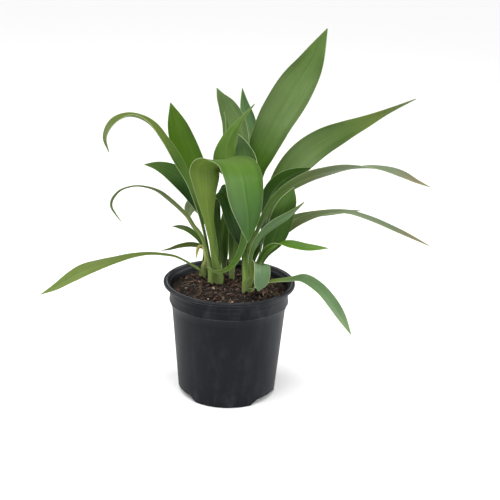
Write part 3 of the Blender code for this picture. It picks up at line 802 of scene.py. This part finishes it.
# %% Facts of the leaves
LEAVES = {
    "leaf_front_folded": dict(
        shoot="left", layer=5, side=-65, width=55, form=FOLDED, fold=8,
        turn=(0, 0, 0, 12, 42, 45, 45, 45),
        route=[(-17, -15, 166), (-21, -15, 192), (-25, -14, 216), (-27.5, -12, 237),
               (-28.5, -9, 255), (-29, -7, 265), (-23, -8, 273), (-9, -15, 278), (4, -27, 277),
               (11, -37, 266), (15, -42, 247), (19, -44, 223), (20, -44, 194)]),
    "leaf_left_hook": dict(
        shoot="left", layer=4, side=205, width=7, form=THIN, fold=24,
        turn=(0, 15, 42, 32, 30, 12, 8, 50, 60),
        route=[(-27, -5, 167), (-34, -3, 188), (-42, 2, 196), (-49, 5, 206), (-55, 6, 212),
               (-63, 7, 219), (-73, 8, 227), (-82, 6, 234), (-94, 3, 239), (-106, 0, 241),
               (-117, -2, 239), (-125, -4, 235), (-132, -6, 226), (-133, -6, 218),
               (-128, -6, 209), (-122, -6, 201)]),
    "leaf_far_arch": dict(
        shoot="left", layer=3, side=165, width=21, form=ARCH, fold=36,
        turn=(0, 0, 0, -5, -8, 0, 14, 5, 0),
        route=[(-28, 5, 176), (-36, 4, 208), (-48, 7, 242), (-57, 10, 258), (-67, 13, 274),
               (-77, 15, 289), (-90, 18, 305), (-102, 18, 313), (-115, 17, 316), (-128, 12, 312),
               (-136, 8, 304), (-140, 4, 293), (-136, 1, 278)]),
    "leaf_inner_folded": dict(
        shoot="left", layer=2, side=-45, width=20, form=BROAD, fold=14,
        turn=(0, 0, 20, 36, 40),
        route=[(-11, -1, 159), (-13, 4, 180), (-15, 7, 201), (-16.5, 8.5, 217), (-16.5, 8, 228),
               (-15, 5, 236), (-11, 0, 237.5), (-6, -5, 234), (-2, -9, 226), (1, -12, 214),
               (7, -13, 195), (14, -13, 175)]),
    "leaf_left_broad": dict(
        shoot="left", layer=0, side=160, width=29, form=TAPERED, fold=16,
        turn=(0, 0, -20, -40, -40),
        route=[(-24, 8, 178), (-31, 21, 202), (-43, 27, 223.5), (-57, 31, 239.6), (-70, 35, 249),
               (-86, 37, 255), (-101, 36, 257)]),
    "leaf_left_tall": dict(
        shoot="left", layer=1, side=60, width=33, form=BROAD, fold=24,
        turn=(0, 0, 15, 20, 15),
        route=[(-18, 17, 171), (-28, 36, 205), (-43, 46, 244), (-59, 50, 284), (-73, 51, 326)]),
    "leaf_long_low_left": dict(
        shoot="far_left", layer=3, side=190, width=17, form=LATE, fold=20,
        turn=(0, -5, -20, -35, -35),
        route=[(-40, 14, 142), (-51, 12, 150), (-63, 8, 157), (-81, 3, 161), (-94, 0, 162),
               (-112, -4, 160), (-129, -9, 156), (-144, -13, 152), (-162, -17, 146),
               (-177, -20, 138), (-195, -25, 127), (-210, -29, 120)]),
    "leaf_withered": dict(
        shoot="far_left", layer=2, side=235, width=6, form=THIN, fold=20,
        turn=(0, 0, 0, 0, 0, 5, 35, 60, 70),
        route=[(-28, 9, 154), (-29, 8, 165), (-31, 7, 171), (-35, 6, 171), (-38, 6, 164),
               (-38, 6, 157)]),
    "leaf_left_short": dict(
        shoot="far_left", layer=1, side=130, width=7, form=STRAP, fold=20,
        turn=(0, -5, -15, -25),
        route=[(-31, 21, 163), (-36, 23, 173.5), (-43, 25, 180), (-51, 26, 185), (-61, 27, 187.2),
               (-68, 26, 187.6)]),
    "leaf_back_thin": dict(
        shoot="far_left", layer=0, side=30, width=6, form=THIN, fold=20,
        turn=(0, 0, -10, -20),
        route=[(-25, 24, 152), (-30, 33, 160), (-44, 37, 163), (-59, 37, 161), (-71, 36, 157),
               (-81, 34, 155)]),
    "leaf_back_drooping": dict(
        shoot="back", layer=2, side=150, width=19, form=BLUNT, fold=16,
        turn=(0, 0, 0, 0, -30, -70, -70),
        route=[(-20, 37, 169), (-28, 44, 190), (-34, 48, 203), (-42, 50, 209), (-49, 50, 203),
               (-50, 48, 191)]),
    "leaf_centre_slant": dict(
        shoot="back", layer=1, side=-105, width=33, form=SPEAR, fold=16,
        turn=(0, 0, 10, 20),
        route=[(-10, 18, 176), (-6, 19, 205), (-1, 20, 231), (-1, 21, 252), (-8, 22, 272),
               (-6, 24, 290), (4, 26, 309), (22, 29, 332)]),
    "leaf_centre_bent_tip": dict(
        shoot="back", layer=0, side=65, width=33, form=FLARED, fold=16,
        turn=(0, 0, 0, 0),
        route=[(-4, 35, 182), (-1, 47, 215), (4, 55, 260), (3, 61, 283), (-1, 67, 304),
               (-9, 72, 320), (-17, 74, 331), (-22, 76, 340)]),
    "leaf_centre_back": dict(
        shoot="middle", layer=1, side=110, width=27, form=SPEAR, fold=16,
        turn=(0, 0, 0, 0),
        route=[(1.5, 20, 178), (1, 36, 215), (2, 39, 232), (-1, 42, 253), (-4, 44, 275),
               (-7, 46, 294), (-9, 48, 308), (-12, 49, 318)]),
    "leaf_centre_low": dict(
        shoot="middle", layer=0, side=20, width=35, form=BROAD, fold=16,
        turn=(0, 20, 40, 40),
        route=[(8, 3, 175), (13, 7, 221), (15, 9, 244), (15, 12, 270), (12, 14, 283),
               (9, 14, 292), (5, 15, 300)]),
    "leaf_low_right": dict(
        shoot="front", layer=4, side=-25, width=18, form=STRAP, fold=20,
        turn=(0, 0, 5, 10, 10),
        route=[(31, -35, 139), (44, -42, 148), (67, -48, 154), (81, -54, 158), (98, -60, 150),
               (112, -66, 136), (124, -70, 120), (135, -72, 102)]),
    "leaf_front_tip": dict(
        shoot="front", layer=3, side=-80, width=21, form=BLUNT, fold=40,
        turn=(0, 0, 0, 0),
        route=[(27, -41, 154), (31, -46, 166), (34, -52, 171), (35, -59, 165), (33, -62, 145)]),
    "leaf_front_curl": dict(
        shoot="front", layer=2, side=-120, width=10, form=THIN, fold=14,
        turn=(0, 0, 0, 0),
        route=[(16, -28, 175), (20, -23, 205), (23, -23, 222), (20, -28, 231), (17, -32, 219),
               (16, -32, 196), (11, -29, 176), (2, -24, 159), (-13, -19, 150), (-26, -15, 154)]),
    "leaf_right_slant": dict(
        shoot="front", layer=1, side=-20, width=13, form=THIN, fold=16,
        turn=(0, -15, -30, -30),
        route=[(24, -31, 163), (25, -29, 176), (29, -27, 188), (36, -24, 198), (47, -21, 208),
               (63, -17, 218), (80, -14, 233)]),
    "leaf_right_twisted": dict(
        shoot="front", layer=0, side=50, width=17, form=STRAP, fold=28,
        turn=(0, -70, -112, -106, -100, -74, -36, -2, 0),
        route=[(23, -19, 170), (24, -16, 181), (29, -12, 193), (34, -7, 206), (40, -3, 218),
               (47, 0, 229), (57, 3, 239), (67, 5, 246), (84, 7, 255), (103, 9, 261),
               (126, 10, 266), (155, 11, 268), (187, 10, 262), (205, 7, 255), (220, 4, 250)]),
    "leaf_right_small": dict(
        shoot="right", layer=2, side=-70, width=13, form=STRAP, fold=18,
        turn=(0, 0, 0, 0, 20, 62, 72, 72, 70),
        route=[(33, -15, 159), (38, -18, 172), (44, -22, 181), (52, -27, 188), (66, -30, 189),
               (85, -33, 187), (108, -36, 188)]),
    "leaf_right_long": dict(
        shoot="right", layer=1, side=60, width=17, form=EARLY, fold=18,
        turn=(0, -14, -30, -32, -43, -30, -5, 0, 0),
        route=[(34, 5, 153), (39, 6, 163), (45, 7, 172), (51, 9, 180), (60, 10, 188),
               (77, 10, 202), (99, 7, 213), (127, 1, 219), (153, -6, 215), (184, -15, 205),
               (220, -25, 191)]),
    "leaf_right_upright": dict(
        shoot="right", layer=0, side=100, width=28, form=BROAD, fold=16,
        turn=(0, 0, 10, 15),
        route=[(34, -5, 154), (36, -5, 160), (40, -6, 170), (45, -7, 180), (50, -7, 191),
               (54, -8, 205), (59, -10, 225), (63, -11, 236), (68, -12, 249)]),
    "leaf_right_behind": dict(
        shoot="back_right", layer=4, side=-60, width=12, form=STRAP, fold=18,
        turn=(0, 10, 20, 20),
        route=[(24, 2, 166), (30, 6, 175), (38, 12, 183), (48, 18, 190), (60, 24, 197),
               (78, 28, 203), (107, 31, 208), (147, 33, 212)]),
    "leaf_right_short_dark": dict(
        shoot="back_right", layer=3, side=-10, width=22, form=TALL, fold=18,
        turn=(0, 0, -30, -60, -60),
        route=[(34.5, 14.6, 164), (37, 17.2, 184), (39, 18, 203), (44, 18.5, 233), (60, 19, 251),
               (88, 21, 264)]),
    "leaf_right_high": dict(
        shoot="back_right", layer=2, side=50, width=34, form=LONG_TIP, fold=18,
        turn=(0, 0, 30, 50, 50, 50),
        route=[(35.5, 27, 172), (40, 32, 201), (47, 37, 225), (57, 40, 242), (69, 45, 259),
               (83, 51, 273), (102, 58, 286), (126, 66, 297), (151, 75, 307), (176, 83, 318),
               (209, 92, 332)]),
    "leaf_tallest": dict(
        shoot="back_right", layer=1, side=80, width=44, form=TALL, fold=18,
        turn=(0, 0, 0, 0),
        route=[(23, 35, 172), (22, 50, 210), (24, 57, 252), (31, 60, 270), (39, 64, 289),
               (47, 67, 307), (58, 71, 326), (69, 75, 345), (82, 81, 366), (93, 88, 389),
               (102, 94, 409)]),
    "leaf_centre_pointed": dict(
        shoot="back_right", layer=0, side=160, width=29, form=FLARED, fold=18,
        turn=(0, 0, 0, 0),
        route=[(13, 21, 170), (10, 40, 188), (14, 58, 209), (23, 76, 269), (18, 81, 286),
               (13, 84, 305), (9, 86, 321), (7, 87, 339)]),
}

# %% [markdown]
# A leaf's spine goes straight up inside its sheath and then follows its route. A smooth curve
# through a few points overshoots where they are unevenly spaced, unless its tangents take the
# spacing into account, so the curve here is a centripetal one. A frame is then carried along
# it: which way is ahead, and which way is across the blade.

# %% Spines
STEM_FOOT = 112.0
SHEATH_TOP = 137.0
SHEATH_STEP = 5.0
SHEATH_CORE = 2.2
LAYER_SPACING = 1.5
SAMPLES_PER_SPAN = 16
BEND_REACH = 16.0


def heading(degrees):
    angle = math.radians(degrees)
    return Vector((math.cos(angle), math.sin(angle), 0.0))


def sheath_radius(layer):
    return SHEATH_CORE + LAYER_SPACING * layer


def smooth_route(points):
    """A curve through the points that keeps close to them where their spacing is uneven."""
    ends = [points[0] * 2.0 - points[1]] + points + [points[-1] * 2.0 - points[-2]]
    curve = []
    for a, b, c, d in zip(ends, ends[1:], ends[2:], ends[3:]):
        before, span, after = [math.sqrt(step.length) for step in (b - a, c - b, d - c)]
        leave = (c - b) + ((b - a) / before - (c - a) / (before + span)) * span
        arrive = (c - b) + ((d - c) / after - (d - b) / (span + after)) * span
        for step in range(SAMPLES_PER_SPAN):
            t = step / SAMPLES_PER_SPAN
            curve.append(b + leave * t + (3.0 * (c - b) - 2.0 * leave - arrive) * t ** 2
                         + (2.0 * (b - c) + leave + arrive) * t ** 3)
    curve.append(points[-1])
    return curve


def sheath_top(leaf):
    """Leaves further in leave the sheath higher up."""
    outermost = max(other["layer"] for other in LEAVES.values() if other["shoot"] == leaf["shoot"])
    return SHEATH_TOP + SHEATH_STEP * (outermost - leaf["layer"])


def leaf_spine(leaf):
    axis = Vector((*SHOOTS[leaf["shoot"]], 0.0))
    out = axis + heading(leaf["side"]) * sheath_radius(leaf["layer"])
    top = sheath_top(leaf)
    sheath = [out + Vector((0.0, 0.0, z)) for z in (STEM_FOOT, (STEM_FOOT + top) / 2.0, top)]
    return smooth_route(sheath + [Vector(point) for point in leaf["route"]])


def frames_along(spine, side):
    """Each point with its directions ahead and across, its run and its share of bending."""
    across = heading(side + 90.0)
    run = 0.0
    effort = 0.0
    frames = []
    last = (spine[1] - spine[0]).normalized()
    for index, point in enumerate(spine):
        ahead = spine[min(index + 1, len(spine) - 1)] - spine[max(index - 1, 0)]
        ahead.normalize()
        across = (across - ahead * across.dot(ahead)).normalized()
        if index:
            step = (point - spine[index - 1]).length
            run += step
            effort += step + BEND_REACH * last.angle(ahead)
        frames.append((point, ahead, across.copy(), run, effort))
        last = ahead
    return frames


def stations(leaf, count):
    """Rows of the blade: the foot, the top of the sheath, then steps that are shorter in bends."""
    frames = frames_along(leaf_spine(leaf), leaf["side"])
    sheath_end = frames[2 * SAMPLES_PER_SPAN][4]
    rows = [frames[0]]
    index = 0
    for row in range(count):
        goal = sheath_end + (frames[-1][4] - sheath_end) * row / (count - 1)
        while index < len(frames) - 2 and frames[index + 1][4] < goal:
            index += 1
        here, there = frames[index], frames[index + 1]
        share = min(max((goal - here[4]) / (there[4] - here[4]), 0.0), 1.0)
        point, ahead, across = [a.lerp(b, share) for a, b in zip(here[:3], there[:3])]
        run = here[3] + (there[3] - here[3]) * share
        rows.append((point, ahead.normalized(), across.normalized(), run, goal))
    return rows


print("the longest leaf is", round(max(stations(leaf, 9)[-1][3] for leaf in LEAVES.values())), "mm")

# %% [markdown]
# The section of a blade is an arc, tight in the stalk and nearly flat in the blade. Here it
# also gets a groove along the midrib, and the margins of the wide blades wave a little, which
# is what makes their edges catch the light unevenly.

# %% Sections
SHEATH_WRAP = 48.0
STALK_WRAP = 42.0
STALK_START = 14.0
TIP_WIDTH = 0.5
BLADE_THICKNESS = 0.95
GROOVE_DEPTH = 0.45
GROOVE_WIDTH = 1.3
WAVE_HEIGHT = 0.5
WAVE_LENGTH = 47.0


def at_even_steps(values, share):
    """A value on a smooth curve through evenly spaced ones."""
    place = share * (len(values) - 1)
    index = min(int(place), len(values) - 2)
    t = place - index
    b, c = values[index], values[index + 1]
    a = values[index - 1] if index else 2.0 * b - c
    d = values[index + 2] if index + 2 < len(values) else 2.0 * c - b
    return 0.5 * (2.0 * b + (c - a) * t + (2.0 * a - 5.0 * b + 4.0 * c - d) * t ** 2
                  + (3.0 * b - a - 3.0 * c + d) * t ** 3)


def blade_width(leaf, past_sheath, share):
    """The sheath's width, narrowing to the blade's own form."""
    wrap = 2.0 * math.radians(SHEATH_WRAP) * sheath_radius(leaf["layer"])
    blade = leaf["width"] * at_even_steps(leaf["form"], share)
    return max(wrap + (blade - wrap) * smooth_step(0.0, STALK_START, past_sheath), TIP_WIDTH)


def blade_fold(leaf, past_sheath, share):
    """Half the angle that the blade's section turns through."""
    stalk = SHEATH_WRAP + (STALK_WRAP - SHEATH_WRAP) * smooth_step(0.0, STALK_START, past_sheath)
    return math.radians(stalk + (leaf["fold"] - stalk) * smooth_step(0.05, 0.4, share))


def blade_point(leaf, row, sheath_run, whole_run, x):
    """Where the point lies that is x of the half width to one side, and how wide it is there."""
    spot, ahead, across, run = row[:4]
    past_sheath = max(run - sheath_run, 0.0)
    share = past_sheath / (whole_run - sheath_run)
    across = Quaternion(ahead, math.radians(at_even_steps(leaf["turn"], share))) @ across
    upper = ahead.cross(across)
    fold = blade_fold(leaf, past_sheath, share)
    width = blade_width(leaf, past_sheath, share)
    radius = width / (2.0 * fold)
    angle = x * fold
    ends = smooth_step(0.0, 0.15, share) * (1.0 - smooth_step(0.9, 1.0, share))
    groove = GROOVE_DEPTH * math.exp(-((x * width / 2.0 / GROOVE_WIDTH) ** 2))
    wave = WAVE_HEIGHT * math.sin(run * math.tau / WAVE_LENGTH + 2.0 * x) * x * x
    relief = (wave * min(width / 30.0, 1.0) - groove * min(width / 16.0, 1.0)) * ends
    place = spot + across * radius * math.sin(angle) + upper * radius * (1.0 - math.cos(angle))
    return place + upper * relief, width, run, share


# %% [markdown]
# Leaves of one plant are never one green. New ones are bright, old ones dull, undersides are
# greyer, bases are pale, and tips dry to brown. A palette holds 23 tones, and each leaf
# names the ones it passes through from foot to tip, first for its upper face and then for its
# underside.

# %% Greens
GREENS = {
    "night": (0.010, 0.032, 0.006),
    "dark": (0.016, 0.050, 0.006),
    "deep": (0.040, 0.100, 0.009),
    "forest": (0.055, 0.118, 0.015),
    "grass": (0.068, 0.152, 0.008),
    "clover": (0.048, 0.130, 0.004),
    "ivy": (0.024, 0.084, 0.003),
    "spring": (0.094, 0.188, 0.014),
    "mid": (0.062, 0.140, 0.013),
    "sage": (0.086, 0.152, 0.032),
    "leek": (0.118, 0.190, 0.058),
    "fresh": (0.105, 0.200, 0.030),
    "olive": (0.098, 0.138, 0.024),
    "meadow": (0.120, 0.172, 0.034),
    "grey_olive": (0.092, 0.120, 0.044),
    "blue": (0.080, 0.145, 0.055),
    "sea": (0.098, 0.172, 0.078),
    "silver": (0.150, 0.188, 0.108),
    "frost": (0.330, 0.420, 0.200),
    "stalk": (0.150, 0.232, 0.038),
    "lime": (0.190, 0.290, 0.060),
    "straw": (0.700, 0.620, 0.200),
    "pink_brown": (0.230, 0.165, 0.095),
}


def alike(*names):
    """The same greens on both faces of a leaf."""
    return names, names


COLOURS = {
    # the greyer sage where the fold crests is a painted sheen
    "leaf_front_folded": (("lime", "mid", "mid", "mid", "sage", "sage", "clover", "ivy", "ivy"),
                          ("lime", "stalk", "stalk", "stalk", "stalk", "fresh", "mid")),
    "leaf_left_hook": alike("lime", "olive", "grey_olive", "grey_olive", "grey_olive"),
    "leaf_far_arch": alike("lime", "lime", "fresh", "forest", "olive", "olive", "grey_olive"),
    "leaf_inner_folded": (("deep", "deep", "deep", "deep", "dark", "dark", "night"),
                          ("deep", "deep", "sage", "forest", "deep")),
    "leaf_left_broad": alike("lime", "dark", "dark", "dark", "deep", "sage"),
    "leaf_left_tall": alike("lime", "deep", "deep", "grass", "grass", "spring"),
    "leaf_long_low_left": alike("stalk", "olive", "olive", "meadow", "meadow"),
    "leaf_withered": alike("meadow", "straw", "straw"),
    "leaf_left_short": alike("lime", "sage", "sage", "grey_olive"),
    "leaf_back_thin": alike("lime", "olive", "olive", "grey_olive"),
    "leaf_back_drooping": alike("mid", "sage", "silver", "frost"),
    "leaf_centre_slant": alike("deep", "deep", "mid", "sage", "fresh", "fresh", "sage"),
    "leaf_centre_bent_tip": alike("deep", "dark", "deep", "leek", "leek", "leek"),
    "leaf_centre_back": alike("lime", "deep", "deep", "grass", "grass", "grass"),
    "leaf_centre_low": alike("lime", "deep", "deep", "forest", "blue"),
    "leaf_low_right": alike("lime", "meadow", "blue", "blue", "blue", "leek"),
    "leaf_front_tip": (("lime", "meadow", "blue", "sea", "sea"), ("lime", "olive", "grey_olive")),
    "leaf_front_curl": alike("stalk", "forest", "grass", "forest", "forest", "grass", "olive"),
    "leaf_right_slant": alike("forest", "forest", "blue", "blue", "grey_olive"),
    "leaf_right_twisted": alike("lime", "sage", "sage", "grey_olive", "silver", "silver", "pink_brown"),
    "leaf_right_small": alike("lime", "forest", "grass", "mid", "fresh"),
    "leaf_right_long": alike("lime", "grey_olive", "grey_olive", "silver", "silver", "pink_brown"),
    "leaf_right_upright": alike("lime", "deep", "deep", "deep", "forest", "forest"),
    "leaf_right_behind": alike("deep", "deep", "grey_olive", "grey_olive"),
    "leaf_right_short_dark": alike("deep", "dark", "dark", "deep", "deep"),
    "leaf_right_high": alike("deep", "forest", "sage", "leek", "sage", "olive", "grey_olive"),
    "leaf_tallest": alike("lime", "spring", "mid", "mid", "leek", "leek", "sage", "sage"),
    "leaf_centre_pointed": alike("lime", "deep", "dark", "ivy", "clover", "ivy", "ivy"),
}


def blended(names, share):
    """The colour between two neighbours of a row of named ones."""
    place = share * (len(names) - 1)
    index = min(int(place), len(names) - 2)
    here, there = Vector(GREENS[names[index]]), Vector(GREENS[names[index + 1]])
    return tuple(here.lerp(there, place - index))


# %% [markdown]
# The finishes read what each leaf notes on its points: millimetres from the margin and from
# the midrib, a lane across and a run along for streaks and veins, and the two greens. Noise
# that is stretched along the run looks like the fine parallel veins of a strap leaf. The
# margin is a thin cartilage line, paler than the blade. Every leaf is pale where it leaves its
# sheath, higher up along the midrib than at the margins, and stained by the mix at its foot.
# The outer centimetre of wide blades is darkened as painted shade.

# %% Leaf finishes
PALE_MARGIN = (0.28, 0.37, 0.16)
PALE_MIDRIB = (0.24, 0.34, 0.12)
PALE_FOOT = (0.30, 0.38, 0.14)
SHADY = (0.040, 0.070, 0.012)
SOILED = (0.060, 0.050, 0.022)
VEIN_SPACING = 1.5


def leaf_finish(name, face, roughness, vein_depth, midrib):
    finish = Finish(name, specular_ior_level=0.15)
    place = finish.places()
    lane = finish.attribute("lane")
    run = finish.attribute("run")
    green = finish.attribute(face, "Color")
    streaks = finish.cloud(finish.vector(lane / 2.8, run / 90.0, 0.0), 1.0, 3.0, 0.6)
    hairs = finish.cloud(finish.vector(lane / 0.55, run / 60.0, 7.0), 1.0, 2.0)
    patches = finish.cloud(place, 24.0, 3.0)
    bands = finish.cloud(finish.vector(lane / 5.0, run / 260.0, 11.0), 1.0, 2.0)
    veins = (lane * (math.tau / VEIN_SPACING)).sine()
    rim = finish.attribute("rim")
    mid = finish.attribute("mid")
    wide = (rim + mid).rises(8.0, 15.0)
    tone = 0.35 + streaks * 0.4 + hairs * 0.2 + patches * 0.44 + bands * 0.3 + veins * 0.04
    # painted shade: the outer 10 mm of wide blades is darkened
    tone = tone - wide * rim.falls(0.0, 10.0) * 0.26
    colour = finish.shaded(green, tone)
    rib = mid.falls(0.2, 1.3)
    margin = rim.falls(0.25, 0.8)
    colour = finish.mixed(rib * midrib, colour, PALE_MIDRIB)
    colour = finish.mixed(margin * 0.38, colour, PALE_MARGIN)
    foot = (run + mid * 4.0).falls(26.0, 60.0)
    shaded = hairs.rises(0.5, 0.72) * run.falls(30.0, 80.0)
    soiled = (run - patches * 12.0 - streaks * 3.0).falls(1.0, 14.0)
    colour = finish.mixed(foot * (0.25 + streaks * 0.8), colour, PALE_FOOT)
    colour = finish.mixed(shaded * 0.45, colour, SHADY)
    colour = finish.mixed(soiled * 0.75, colour, SOILED)
    finish.set("Base Color", colour)
    finish.set("Roughness", roughness + streaks * 0.14 - patches * 0.08)
    finish.bump(veins * 0.5 + hairs * 0.9 + streaks * 0.8, vein_depth * MM, 0.7)
    return finish


upper_face = leaf_finish("leaf_upper_face", "upper", 0.40, 0.12, 0.06)
under_face = leaf_finish("leaf_under_face", "under", 0.52, 0.10, 0.16)
leaf_margin = Finish("leaf_margin", base_color=PALE_MARGIN, roughness=0.5)

# %% [markdown]
# A leaf starts as a flat grid. Its points move to the rows of the spine, finer towards the
# midrib, and the notes for the finishes are written down on the way. Solidify then gives the
# sheet its thickness, full along the midrib and half of it at the margins, and tells the
# underside and the cut edge to take the second and third finish.

# %% Make the leaves
ACROSS = 16
ALONG = 110
LANE_SHIFT = 137.0


def note(mesh, name, values):
    """A number or a colour for every point."""
    if isinstance(values[0], tuple):
        flat = [part for value in values for part in (*value, 1.0)]
        mesh.attributes.new(name, "FLOAT_COLOR", "POINT").data.foreach_set("color", flat)
    else:
        mesh.attributes.new(name, "FLOAT", "POINT").data.foreach_set("value", values)


def make_blade(number, name, leaf):
    bpy.ops.mesh.primitive_grid_add(x_subdivisions=ACROSS, y_subdivisions=ALONG, size=2.0)
    blade = named(name.replace("leaf_", "blade_"))
    rows = stations(leaf, ALONG)
    sheath_run = sheath_top(leaf) - STEM_FOOT
    uppers, unders = COLOURS[name]
    notes = {"rim": [], "mid": [], "lane": [], "run": [], "upper": [], "under": []}
    thickness = blade.vertex_groups.new(name="thickness")
    for point in blade.data.vertices:
        x = point.co.x * (0.62 + 0.38 * point.co.x ** 2)
        row = rows[round((point.co.y + 1.0) / 2.0 * ALONG)]
        place, width, run, share = blade_point(leaf, row, sheath_run, rows[-1][3], x)
        point.co = place * MM
        thickness.add([point.index], 1.0 - 0.5 * x ** 2, "REPLACE")
        notes["rim"].append((1.0 - abs(x)) * width / 2.0)
        notes["mid"].append(abs(x) * width / 2.0)
        notes["lane"].append(x * leaf["width"] / 2.0 + LANE_SHIFT * number)
        notes["run"].append(run)
        notes["upper"].append(blended(uppers, share))
        notes["under"].append(blended(unders, share))
    for key, values in notes.items():
        note(blade.data, key, values)
    pick_up(blade)
    bpy.ops.object.mode_set(mode="EDIT")
    bpy.ops.mesh.select_all(action="SELECT")
    bpy.ops.mesh.flip_normals()
    bpy.ops.object.mode_set(mode="OBJECT")
    solid = blade.modifiers.new("thickness", "SOLIDIFY")
    solid.thickness = BLADE_THICKNESS * MM
    solid.offset = 0.0
    solid.vertex_group = "thickness"
    solid.material_offset = 1
    solid.material_offset_rim = 2
    for finish in (upper_face, under_face, leaf_margin):
        blade.data.materials.append(finish.material)
    apply_all(blade)
    bpy.ops.object.shade_smooth_by_angle(angle=math.radians(40.0))
    hand_over(blade, "leaf_green", name)


for number, (name, leaf) in enumerate(LEAVES.items()):
    make_blade(number, name, leaf)
print(len(LEAVES), "leaves")
